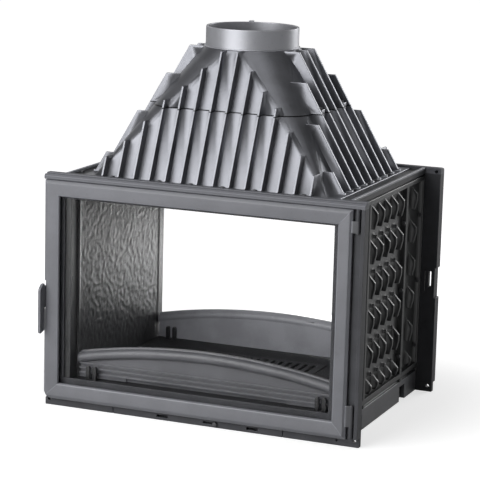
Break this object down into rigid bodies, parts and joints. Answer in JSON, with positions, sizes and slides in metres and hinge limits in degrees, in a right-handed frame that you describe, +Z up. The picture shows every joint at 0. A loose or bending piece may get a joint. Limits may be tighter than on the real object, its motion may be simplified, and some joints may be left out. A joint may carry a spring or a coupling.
{
  "type": "double-sided fireplace insert",
  "caption": "Double-sided cast-iron fireplace insert: hinged glazed doors front and rear, finned side walls, grate and log guards, and a ribbed hood that narrows to a round flue collar.",
  "frame": {"origin": "bottom centre of the body, where it rests", "axes": "+Z up along the flue, -Y towards the front door, +X to the hinges of both doors"},
  "size_m": [0.7248, 0.572, 0.824],
  "materials": {
    "body_iron": "fine sand-cast grain",
    "door_iron": "smooth satin",
    "frame_iron": "smooth satin",
    "hood_iron": "fine sand-cast grain",
    "lining": "hammered relief",
    "collar": "satin",
    "handle": "smooth satin",
    "sheet_steel": "dull",
    "steel": "dull",
    "rope": "braided glass fibre",
    "glass": "clear ceramic glass"
  },
  "bodies": {
    "root": {"front_frame": "frame_iron", "rear_frame": "frame_iron", "left_front_casting": "body_iron", "left_centre_casting": "body_iron", "left_rear_casting": "body_iron", "right_front_casting": "body_iron", "right_centre_casting": "body_iron", "right_rear_casting": "body_iron", "base_tray": "body_iron", "hearth_plate": "body_iron", "top_plate": "body_iron", "lower_hood": "hood_iron", "upper_hood": "hood_iron", "flue_collar": "collar", "baffle_bars": "body_iron", "baffle_plate": "body_iron", "left_lining": "lining", "right_lining": "lining", "front_guard_brackets": "body_iron", "front_hinge_pins": "steel", "front_keeper_pin": "steel", "rear_guard_brackets": "body_iron", "rear_hinge_pins": "steel", "rear_keeper_pin": "steel", "hood_bolts": "steel", "hood_seam_bolts": "steel", "top_plate_bolts": "steel", "side_seam_bolts": "steel", "frame_bolts": "steel"},
    "front_door": {"front_door": "door_iron", "front_glass": "glass", "front_glass_tape": "rope", "front_door_rope": "rope", "front_glass_clips": "steel", "front_clip_screws": "steel", "front_handle_screw": "steel"},
    "front_handle": {"front_handle": "handle"},
    "front_air_slider": {"front_air_slider": "body_iron", "front_air_knob": "steel"},
    "front_log_guard": {"front_log_guard": "body_iron"},
    "rear_door": {"rear_door": "door_iron", "rear_glass": "glass", "rear_glass_tape": "rope", "rear_door_rope": "rope", "rear_glass_clips": "steel", "rear_clip_screws": "steel", "rear_handle_screw": "steel"},
    "rear_handle": {"rear_handle": "handle"},
    "rear_air_slider": {"rear_air_slider": "body_iron", "rear_air_knob": "steel"},
    "rear_log_guard": {"rear_log_guard": "body_iron"},
    "grate": {"grate": "body_iron"},
    "ash_pan": {"ash_pan": "sheet_steel"}
  },
  "joints": [
    {"name": "front_door_hinge", "type": "hinge", "parent": "root", "child": "front_door", "pos_m": [0.344, -0.258, 0.258], "axis": [0, 0, 1], "range_deg": [0, 110]},
    {"name": "front_handle_turn", "type": "hinge", "parent": "front_door", "child": "front_handle", "pos_m": [-0.359, -0.257, 0.24], "axis": [-1, 0, 0], "range_deg": [0, 40]},
    {"name": "front_air_slide", "type": "slide", "parent": "root", "child": "front_air_slider", "axis": [1, 0, 0], "range_m": [-0.026, 0]},
    {"name": "front_guard_lift", "type": "slide", "parent": "root", "child": "front_log_guard", "axis": [0, 0, 1], "range_m": [0, 0.08]},
    {"name": "rear_door_hinge", "type": "hinge", "parent": "root", "child": "rear_door", "pos_m": [0.344, 0.258, 0.258], "axis": [0, 0, -1], "range_deg": [0, 110]},
    {"name": "rear_handle_turn", "type": "hinge", "parent": "rear_door", "child": "rear_handle", "pos_m": [-0.359, 0.257, 0.24], "axis": [1, 0, 0], "range_deg": [0, 40]},
    {"name": "rear_air_slide", "type": "slide", "parent": "root", "child": "rear_air_slider", "axis": [1, 0, 0], "range_m": [-0.026, 0]},
    {"name": "rear_guard_lift", "type": "slide", "parent": "root", "child": "rear_log_guard", "axis": [0, 0, 1], "range_m": [0, 0.08]},
    {"name": "grate_lift", "type": "slide", "parent": "root", "child": "grate", "axis": [0, 0, 1], "range_m": [0, 0.2]},
    {"name": "ash_pan_lift", "type": "slide", "parent": "root", "child": "ash_pan", "axis": [0, 0, 1], "range_m": [0, 0.1]}
  ],
  "couplings": [
    {"joint": "ash_pan_lift", "follows": "grate_lift", "ratio": 0.5}
  ]
}
